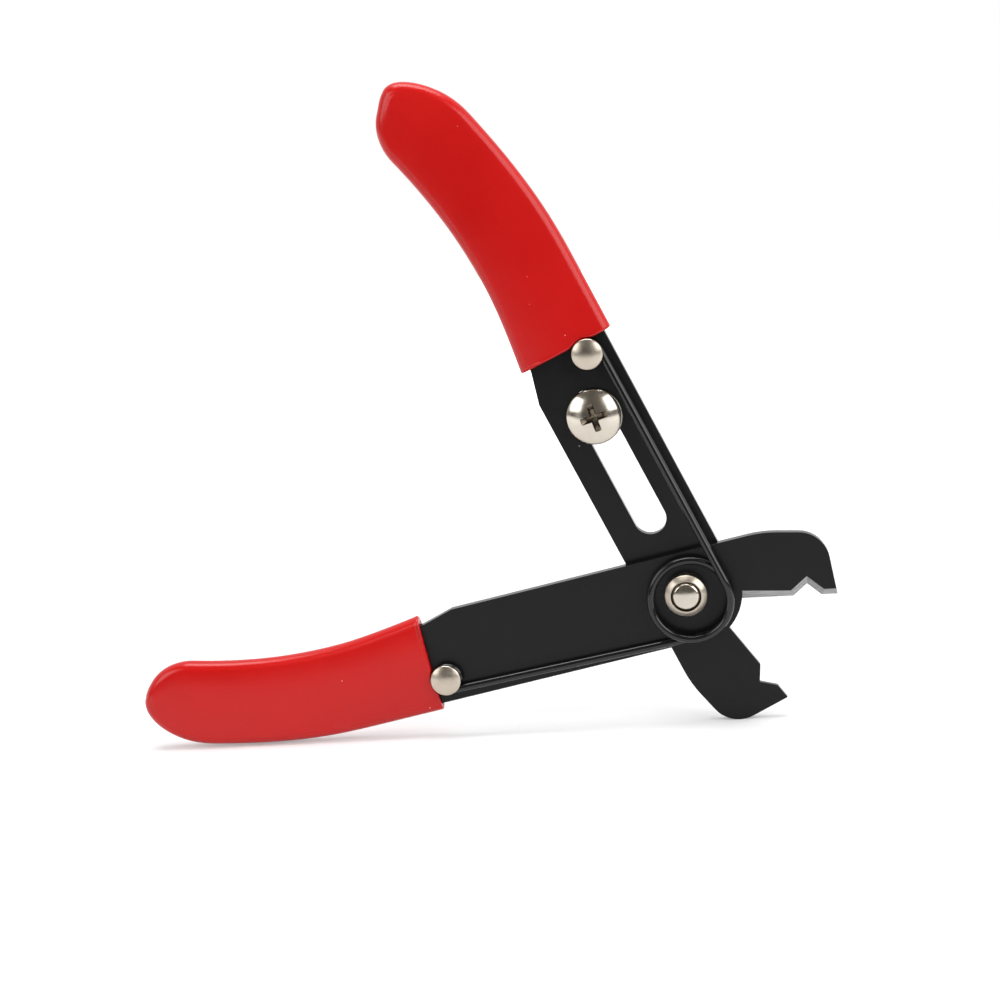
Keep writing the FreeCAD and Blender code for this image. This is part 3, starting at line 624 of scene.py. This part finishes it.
def make_sleeve(name, node, half, spring_side, end_angle, drip_stand):
    """Dipped sleeve: outer skin, rolled lip at the mouth and the hollow that the tang fills."""
    skin = sleeve_rings(SLEEVE_WALL, PLATE_THICKNESS / 2 + SLEEVE_FACE_WALL, SLEEVE_EDGE, end_angle,
                        (SLEEVE_INNER_ROUND, SLEEVE_OUTER_ROUND), (inner_swell, outer_swell), SLEEVE_CROWN)
    skin = [[drip(point, end_angle, drip_stand) for point in ring] for ring in skin]
    corner = (TANG_CORNER, TANG_CORNER)
    hollow = sleeve_rings(TANG_FIT, PLATE_THICKNESS / 2 + TANG_FIT, TANG_FIT, TANG_END,
                          (corner, corner), (no_swell, no_swell))
    for rings in (skin, hollow):
        for point in rings[0]:
            point.x = -SLEEVE_MOUTH
    lip = []
    for turn in LIP_TURNS:
        back = LIP_RADIUS * (1 - math.cos(math.radians(turn)))
        inset = LIP_RADIUS * (1 - math.sin(math.radians(turn)))
        ring = []
        for outside, inside in zip(skin[0], hollow[0]):
            towards = inside - outside
            ring.append(outside + towards * min(inset / towards.length, 1) - Vector((back, 0, 0)))
        lip.append(ring)
    for point in skin[0]:
        point.x -= LIP_RADIUS
    rings = list(reversed(skin)) + lip + hollow
    count = len(skin[0])
    points = [half.point(*bite(point, spring_side)) for ring in rings for point in ring]
    faces = []
    for row in range(len(rings) - 1):
        faces += ring_faces(row * count, (row + 1) * count, count)
    mesh = mended(mesh_of(name, points, faces), SLEEVE_MEND * MM)
    stand_for(new_piece(name, mesh, VINYL), node)


make_sleeve("lower_sleeve", "front_grip", FRONT, spring_side=-1, end_angle=20.0, drip_stand=0.45)
make_sleeve("upper_sleeve", "rear_grip", REAR, spring_side=1, end_angle=20.4, drip_stand=1.15)


# Torsion spring

WIRE_SIDES = 20
WIRE_STEP = 0.35
CHAMFER_SHARE = 0.15
KINK_PASSES = 3


def flat(point):
    return Vector((point.x, point.z))


def spring_line():
    """Points along the wire: eye, leg, coil, leg, eye."""
    clear = (WIRE_RADIUS + SPRING_SEAT) * MM
    front_depth = PIVOT.y - (PLATE_THICKNESS + PLATE_GAP / 2) * MM - clear
    rear_depth = PIVOT.y + PLATE_GAP / 2 * MM - clear
    front_eye = flat(FRONT.point(EYE_CENTRE[0], 0, EYE_CENTRE[1]))
    rear_eye = flat(REAR.point(EYE_CENTRE[0], 0, EYE_CENTRE[1]))
    coil = flat(FRONT.point(COIL_CENTRE[0], 0, COIL_CENTRE[1]))
    eye, wind = EYE_RADIUS * MM, COIL_RADIUS * MM
    legs = []
    for start, end, shrink in ((front_eye, coil, wind - eye), (coil, rear_eye, eye - wind)):
        across = end - start
        legs.append(math.atan2(across.y, across.x) - math.asin(shrink / across.length))
    first, last = legs[0] - math.pi / 2, legs[1] - math.pi / 2 + 2 * math.pi
    eye_turn = math.radians(EYE_TURN)
    climb = COIL_PITCH * MM * (last - first) / (2 * math.pi)

    def level(_share):
        return 0.0

    def climbing(share):
        """The coil leaves the plate level and then climbs forward at a steady slope."""
        if share < COIL_EASE:
            return climb * share * share / (2 * COIL_EASE)
        return climb * (share - COIL_EASE / 2)

    def arc(centre, radius, begin, finish, depth, rise):
        count = max(2, round(abs(finish - begin) * radius / (WIRE_STEP * MM)))
        points = []
        for index in range(count + 1):
            share = index / count
            angle = begin + (finish - begin) * share
            points.append(Vector((centre.x + radius * math.cos(angle), depth - rise(share),
                                  centre.y + radius * math.sin(angle))))
        return points

    line = arc(front_eye, eye, first - eye_turn, first, front_depth, level)
    line += arc(coil, wind, first, last, front_depth, climbing)
    line += arc(rear_eye, eye, last, last + eye_turn, rear_depth, level)
    return line, coil, legs


def eased(line, passes):
    """The line with its small kinks rounded off."""
    for _pass in range(passes):
        line = [line[0]] + [(a + b * 2 + c) / 4 for a, b, c in zip(line, line[1:], line[2:])] + [line[-1]]
    return line


def divided(line):
    """The line with its long runs cut into short steps."""
    fine = [line[0]]
    for start, end in zip(line, line[1:]):
        count = max(1, round((end - start).length / (WIRE_STEP * MM)))
        fine += [start.lerp(end, index / count) for index in range(1, count + 1)]
    return fine


def tube(name, line, radius, sides):
    """Round wire along a line, its cut ends broken by a small chamfer."""
    tangents = []
    for index in range(len(line)):
        before, after = line[max(index - 1, 0)], line[min(index + 1, len(line) - 1)]
        tangents.append((after - before).normalized())
    side = tangents[0].orthogonal().normalized()
    rings = []
    for point, tangent in zip(line, tangents):
        side = (side - tangent * side.dot(tangent)).normalized()
        rings.append((point, side, tangent.cross(side), radius))
    chamfer = radius * CHAMFER_SHARE
    start, end = rings[0], rings[-1]
    rings.insert(0, (start[0] - tangents[0] * chamfer, start[1], start[2], radius - chamfer))
    rings.append((end[0] + tangents[-1] * chamfer, end[1], end[2], radius - chamfer))
    points = []
    for centre, first, second, reach in rings:
        for index in range(sides):
            angle = 2 * math.pi * index / sides
            points.append(centre + (first * math.cos(angle) + second * math.sin(angle)) * reach)
    faces = []
    for row in range(len(rings) - 1):
        faces += ring_faces(row * sides, (row + 1) * sides, sides)
    faces.append(tuple(reversed(range(sides))))
    faces.append(tuple(range((len(rings) - 1) * sides, len(rings) * sides)))
    mesh = mesh_of(name, points, faces)
    mesh.set_sharp_from_angle(angle=SHARP_ANGLE)
    return mesh


def make_spring():
    line, coil, legs = spring_line()
    wire = tube("spring_wire", eased(divided(line), KINK_PASSES), WIRE_RADIUS * MM, WIRE_SIDES)
    piece = new_piece("spring_wire", wire, WIRE)
    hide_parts("torsion_spring")
    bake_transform(piece)


make_spring()


# Turned fasteners: depths run from the front end of each piece towards its back

TURNED_SIDES = 72
DOME_STEPS = 10
EASE_STEPS = 5
# Rings of the screw's head: on the way from the recess to a circle, and as shares of the head's radius
FACE_SHARES = (0.25, 0.5, 0.75, 1.0)
FACE_CIRCLE = 0.66
SIDE_SHARES = (0.74, 0.82, 0.9, 0.94)
# Faces within these shares of the recess's depth and reach may belong to it
RECESS_DEPTH_SHARE = 1.2
RECESS_REACH_SHARE = 1.1


def dome_depth(radius, head, rise):
    """Depth of a dome of the given head radius and rise, at a radius from its axis."""
    ball = (head * head + rise * rise) / (2 * rise)
    return ball - math.sqrt(ball * ball - radius * radius)


def rounded(corners):
    """Line through corners given as (x, y, ease), each eased by a short curve."""
    line = []
    for index, (x, y, ease) in enumerate(corners):
        here = Vector((x, y))
        if not ease:
            line.append(here)
            continue
        start = here + (Vector(corners[index - 1][:2]) - here).normalized() * ease
        end = here + (Vector(corners[index + 1][:2]) - here).normalized() * ease
        for step in range(EASE_STEPS + 1):
            share = step / EASE_STEPS
            line.append(start.lerp(here, share).lerp(here.lerp(end, share), share))
    return line


def dome(head, rise, reach):
    """Corners along a dome from its pole out to a radius."""
    radii = [reach * step / DOME_STEPS for step in range(DOME_STEPS + 1)]
    return [(radius, dome_depth(radius, head, rise), 0) for radius in radii]


def circle(radius, depth, angles):
    if radius < SAME_POINT:
        return [Vector((0, depth, 0))]
    return [Vector((radius * math.cos(angle), depth, radius * math.sin(angle))) for angle in angles]


def evenly_turned():
    return [2 * math.pi * side / TURNED_SIDES for side in range(TURNED_SIDES)]


def ring_stack(name, front, rings):
    """Mesh through rings of points in millimetres from the front end; a ring of one point is a pole."""
    points, faces = [], []
    for ring, after in zip(rings, rings[1:] + [None]):
        first = len(points)
        points += [front + point * MM for point in ring]
        if after is None:
            break
        second, count = len(points), max(len(ring), len(after))
        if len(ring) == 1:
            faces += [(first, second + i, second + (i + 1) % count) for i in range(count)]
        elif len(after) == 1:
            faces += [(second, first + (i + 1) % count, first + i) for i in range(count)]
        else:
            faces += ring_faces(first, second, count)
    mesh = mended(mesh_of(name, points, faces), SAME_POINT * MM)
    mesh.set_sharp_from_angle(angle=SHARP_ANGLE)
    return mesh


def front_of(node):
    """Front end of a node's axis, its length and its largest radius, in millimetres but for the point."""
    low, high = (Vector(corner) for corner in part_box(node))
    middle = (low + high) / 2
    return Vector((middle.x, low.y, middle.z)), (high.y - low.y) / MM, (high.x - low.x) / 2 / MM


def turn_piece(name, node, corners, *materials):
    front, _length, _radius = front_of(node)
    angles = evenly_turned()
    rings = [circle(radius, depth, angles) for radius, depth in rounded(corners)]
    piece = new_piece(name, ring_stack(name, front, rings), *materials)
    stand_for(piece, node)
    return piece


def make_rivet(name, node):
    _front, length, head = front_of(node)
    tail, tail_height = RIVET_TAIL
    under = RIVET_DOME + RIVET_RIM
    seat_ease, end_ease = RIVET_TAIL_EASE
    turn_piece(name, node, dome(head, RIVET_DOME, head - RIVET_DOME_STOP) + [
        (head, RIVET_DOME, RIVET_EDGE_EASE), (head, under, RIVET_UNDER_EASE), (RIVET_SHANK, under, 0),
        (RIVET_SHANK, length - tail_height, 0), (tail, length - tail_height, seat_ease),
        (tail, length, end_ease), (0, length, 0),
    ], SATIN_NICKEL)


def make_pivot_bolt():
    _front, length, head = front_of("pivot_bolt")
    end = PIVOT_RADIUS - PIVOT_END_CHAMFER
    seat = length - PIVOT_HEAD
    turn_piece("pivot_bolt_turned", "pivot_bolt", dome(end, PIVOT_END_DOME, end - PIVOT_DOME_STOP) + [
        (end, PIVOT_END_DOME, PIVOT_END_EASE),
        (PIVOT_RADIUS, PIVOT_END_DOME + PIVOT_END_CHAMFER, PIVOT_CHAMFER_EASE),
        (PIVOT_RADIUS, seat, 0), (head, seat, PIVOT_SEAT_EASE),
        (head, length - PIVOT_HEAD_CHAMFER, PIVOT_HEAD_EASE),
        (head - PIVOT_HEAD_CHAMFER, length, PIVOT_HEAD_EASE), (0, length, 0),
    ], NICKEL)


def make_pivot_nut():
    front, length, rim = front_of("pivot_nut")
    throat = (NUT_BORE, NUT_THROAT, 0)
    nut = turn_piece("pivot_nut_turned", "pivot_nut", [
        throat, (NUT_BORE + NUT_FUNNEL, 0, NUT_FUNNEL_EASE), (NUT_LAND, 0, NUT_LAND_EASE),
        (rim, NUT_CONE, NUT_CONE_EASE), (rim, length, NUT_SEAT_EASE), (NUT_BORE, length, 0), throat,
    ], SATIN_NICKEL, RECESS_TARNISH_AND_SHADE)
    # Faces round the bore take the recess material: painted shade of the gap between nut and bolt end
    for face in nut.data.polygons:
        offset = (face.center - front) / MM
        face.material_index = int(math.hypot(offset.x, offset.z) < NUT_BORE + NUT_SHADE_REACH)


def spaced(line, count):
    """Count points at even steps along a line, without its last point."""
    steps = [(end - start).length for start, end in zip(line, line[1:])]
    points = []
    for index in range(count):
        left = sum(steps) * index / count
        for start, end, step in zip(line, line[1:], steps):
            if left < step:
                points.append(start.lerp(end, left / step))
                break
            left -= step
    return points


def cross(half, reach, depth):
    """Ring of points round a cross with rounded corners; depth gives each point's depth from its radius."""
    quarter = spaced(rounded([
        (reach, 0, 0), (reach, half, RECESS_TIP_EASE), (half, half, RECESS_INNER_EASE),
        (half, reach, RECESS_TIP_EASE), (0, reach, 0),
    ]), RECESS_POINTS)
    ring = []
    for turn in range(4):
        spin = Matrix.Rotation(math.radians(90 * turn + SCREW_TURN), 2)
        for point in quarter:
            x, z = spin @ point
            ring.append(Vector((x, depth(point.length), z)))
    return ring


def make_stop_screw():
    """Domed cross recess screw with its threaded end."""
    low, high = (Vector(corner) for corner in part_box("stop_screw"))
    head = (high.x - low.x) / 2 / MM
    seat = PIVOT.y + PLATE_GAP / 2 * MM
    front = Vector(((low.x + high.x) / 2, seat - (SCREW_DOME + SCREW_RIM) * MM, (low.z + high.z) / 2))
    end = (high.y - front.y) / MM

    def skin(radius):
        return dome_depth(radius, head, SCREW_DOME)

    def recess_wall(radius):
        return skin(radius) + RECESS_WALL_DEPTH

    def recess_floor(radius):
        return RECESS_DEPTH - radius * RECESS_FLOOR_SLOPE

    mouth = cross(RECESS_HALF + RECESS_MOUTH_HALF, RECESS_REACH + RECESS_MOUTH_REACH, skin)
    rings = [
        [Vector((0, RECESS_DEPTH + RECESS_POINT, 0))],
        cross(RECESS_HALF * RECESS_FLOOR_HALF, RECESS_REACH * RECESS_FLOOR_REACH, recess_floor),
        cross(RECESS_HALF - RECESS_WALL_HALF, RECESS_REACH - RECESS_WALL_REACH, recess_wall),
        mouth,
    ]
    angles = [math.atan2(point.z, point.x) for point in mouth]
    for share in FACE_SHARES:
        ring = []
        for point, far in zip(mouth, circle(head * FACE_CIRCLE, 0, angles)):
            x, z = point.x + (far.x - point.x) * share, point.z + (far.z - point.z) * share
            ring.append(Vector((x, skin(math.hypot(x, z)), z)))
        rings.append(ring)
    under = SCREW_DOME + SCREW_RIM
    thread_start = end - THREAD_LENGTH
    sides = [(head * share, skin(head * share), 0) for share in SIDE_SHARES]
    sides += [(head, SCREW_DOME, SCREW_EDGE_EASE), (head, under, SCREW_UNDER_EASE),
              (SCREW_SHANK, under, 0), (SCREW_SHANK, thread_start, 0)]
    rings += [circle(radius, depth, angles) for radius, depth in rounded(sides)]
    rows = round(THREAD_LENGTH / THREAD_PITCH * THREAD_ROWS)
    for row in range(1, rows + 1):
        depth = thread_start + THREAD_LENGTH * row / rows
        ring = []
        for angle in angles:
            turn = (row / THREAD_ROWS + angle / (2 * math.pi)) % 1
            taper = max(0.0, depth - end + THREAD_TAPER)
            radius = SCREW_SHANK - THREAD_DEPTH * (1 - abs(2 * turn - 1)) - taper
            ring.append(Vector((radius * math.cos(angle), depth, radius * math.sin(angle))))
        rings.append(ring)
    rings.append([Vector((0, end, 0))])
    mesh = ring_stack("stop_screw_turned", front, rings)
    # Faces inside the cross recess take the recess material: part tarnish, part painted shade of the hollow
    for face in mesh.polygons:
        offset = (face.center - front) / MM
        radius = math.hypot(offset.x, offset.z)
        inside = offset.y < RECESS_DEPTH * RECESS_DEPTH_SHARE and radius < RECESS_REACH * RECESS_REACH_SHARE
        face.material_index = int(inside and offset.y > skin(radius) + RECESS_LIP)
    stand_for(new_piece("stop_screw_turned", mesh, NICKEL, RECESS_TARNISH_AND_SHADE), "stop_screw")


make_rivet("front_rivet_turned", "front_spring_rivet")
make_rivet("rear_rivet_turned", "rear_spring_rivet")
make_pivot_bolt()
make_pivot_nut()
make_stop_screw()


# Floor, light and camera

MIDDLE = (0.0, 0.0, 0.05)
WORLD_LIGHT = 0.42
FLOOR_FRONT = -0.3
FLOOR_REACH = 0.9
FLOOR_SHADES = (0.71, 0.71, 0.715), (0.73, 0.73, 0.735)
FLOOR_FADE = (0.1, 0.5)
FLOOR_GLOW = (0.2, 1.0)
ROOM_RADIUS = 1.25
ROOM_SPREAD = 85.0
ROOM_LOW = -40.0
ROOM_COLUMNS = 24
ROOM_ROWS = 14
ROOM_FOOT = (0.03, 0.028, 0.026)
ROOM_SHADES = (0.12, 0.11, 0.098), (0.2, 0.186, 0.168)
ROOM_FADE = (-0.15, 0.35)


def pale_floor():
    """Pale floor whose far parts go over into the white background."""
    nodes = Nodes("pale_floor")
    path = nodes.add("ShaderNodeLightPath")
    seen = nodes.math("MAXIMUM", path.outputs["Is Camera Ray"], path.outputs["Is Glossy Ray"])
    mottle = nodes.noise(size=40.0, detail=2.0)
    nodes.set(Base_Color=nodes.mix(mottle, *FLOOR_SHADES), Roughness=0.45, Specular_IOR_Level=0.25)
    far = nodes.add("ShaderNodeVectorMath", {0: nodes.place}, operation="LENGTH").outputs["Value"]
    glow = nodes.math("MULTIPLY", seen, nodes.between(far, *FLOOR_FADE, *FLOOR_GLOW))
    lift = nodes.add("ShaderNodeEmission", {"Color": (1, 1, 1, 1), "Strength": glow})
    both = nodes.add("ShaderNodeAddShader", {0: nodes.shader.outputs["BSDF"], 1: lift.outputs["Emission"]})
    nodes.put(nodes.output.inputs["Surface"], both.outputs["Shader"])
    return nodes.material


def make_floor():
    points = [Vector((side * FLOOR_REACH, depth, 0)) for side, depth in
              ((-1, FLOOR_FRONT), (1, FLOOR_FRONT), (1, FLOOR_REACH), (-1, FLOOR_REACH))]
    new_piece("floor", mesh_of("floor", points, [(0, 1, 2, 3)]), pale_floor())


def dim_room():
    nodes = Nodes("dim_room")
    height = nodes.add("ShaderNodeSeparateXYZ", {"Vector": nodes.place}).outputs["Z"]
    upper = nodes.mix(nodes.noise(size=400.0), *ROOM_SHADES)
    shade = nodes.mix(nodes.between(height, *ROOM_FADE, 0, 1), ROOM_FOOT, upper)
    glow = nodes.add("ShaderNodeEmission", {"Color": shade, "Strength": 1.0})
    nodes.put(nodes.output.inputs["Surface"], glow.outputs["Emission"])
    return nodes.material


def make_room():
    """Dim room in front of the tool, which only its glossy surfaces show."""
    points = []
    for row in range(ROOM_ROWS + 1):
        height = math.radians(ROOM_LOW + (90 - ROOM_LOW) * row / ROOM_ROWS)
        for column in range(ROOM_COLUMNS + 1):
            turn = math.radians(ROOM_SPREAD * (2 * column / ROOM_COLUMNS - 1))
            points.append(Vector((math.sin(turn) * math.cos(height), -math.cos(turn) * math.cos(height),
                                  math.sin(height))) * ROOM_RADIUS)
    width = ROOM_COLUMNS + 1
    faces = [(row * width + column, row * width + column + 1, (row + 1) * width + column + 1,
              (row + 1) * width + column) for row in range(ROOM_ROWS) for column in range(ROOM_COLUMNS)]
    room = new_piece("room", mesh_of("room", points, faces), dim_room())
    room.visible_camera = False
    room.visible_diffuse = False
    room.visible_shadow = False
    room.visible_transmission = False


def make_world():
    """White for what is seen and mirrored, dimmer for what is lit."""
    world = bpy.data.worlds.new("studio")
    bpy.context.scene.world = world
    world.use_nodes = True
    tree = world.node_tree
    back = tree.nodes["Background"]
    path = tree.nodes.new("ShaderNodeLightPath")
    seen = path.outputs["Is Camera Ray"]
    for ray in ("Is Glossy Ray", "Is Transmission Ray"):
        either = tree.nodes.new("ShaderNodeMath")
        either.operation = "MAXIMUM"
        tree.links.new(seen, either.inputs[0])
        tree.links.new(path.outputs[ray], either.inputs[1])
        seen = either.outputs["Value"]
    strength = tree.nodes.new("ShaderNodeMapRange")
    strength.inputs["To Min"].default_value = WORLD_LIGHT
    strength.inputs["To Max"].default_value = 1.0
    tree.links.new(seen, strength.inputs["Value"])
    tree.links.new(strength.outputs["Result"], back.inputs["Strength"])
    back.inputs["Color"].default_value = (1, 1, 1, 1)


def softbox(name, place, width, height, power):
    """Soft lamp turned to the tool's middle, in metres and watts."""
    light = bpy.data.lights.new(name, "AREA")
    light.shape = "RECTANGLE"
    light.size = width
    light.size_y = height
    light.energy = power
    lamp = bpy.data.objects.new(name, light)
    lamp.location = place
    lamp.rotation_euler = (Vector(MIDDLE) - Vector(place)).to_track_quat("-Z", "Y").to_euler()
    bpy.context.scene.collection.objects.link(lamp)


def make_camera():
    camera = bpy.data.cameras.new("camera")
    camera.sensor_fit = "HORIZONTAL"
    camera.angle = math.radians(CAMERA_VIEW)
    camera.clip_start = CAMERA_NEAR
    view = bpy.data.objects.new("camera", camera)
    aim = (CAMERA_AIM - CAMERA_PLACE).to_track_quat("-Z", "Y").to_matrix()
    roll = Matrix.Rotation(math.radians(CAMERA_ROLL), 3, "Z")
    view.matrix_world = Matrix.Translation(CAMERA_PLACE) @ (aim @ roll).to_4x4()
    bpy.context.scene.collection.objects.link(view)
    bpy.context.scene.camera = view


make_floor()
make_room()
make_world()
softbox("left_front", (-0.64, -0.48, 0.42), width=0.5, height=0.5, power=2.6)
softbox("right_front", (0.68, -0.39, 0.45), width=0.8, height=0.6, power=5.2)
softbox("top", (0.0, -0.02, 0.9), width=0.7, height=0.42, power=6.4)
make_camera()
bpy.context.scene.view_settings.view_transform = "Standard"
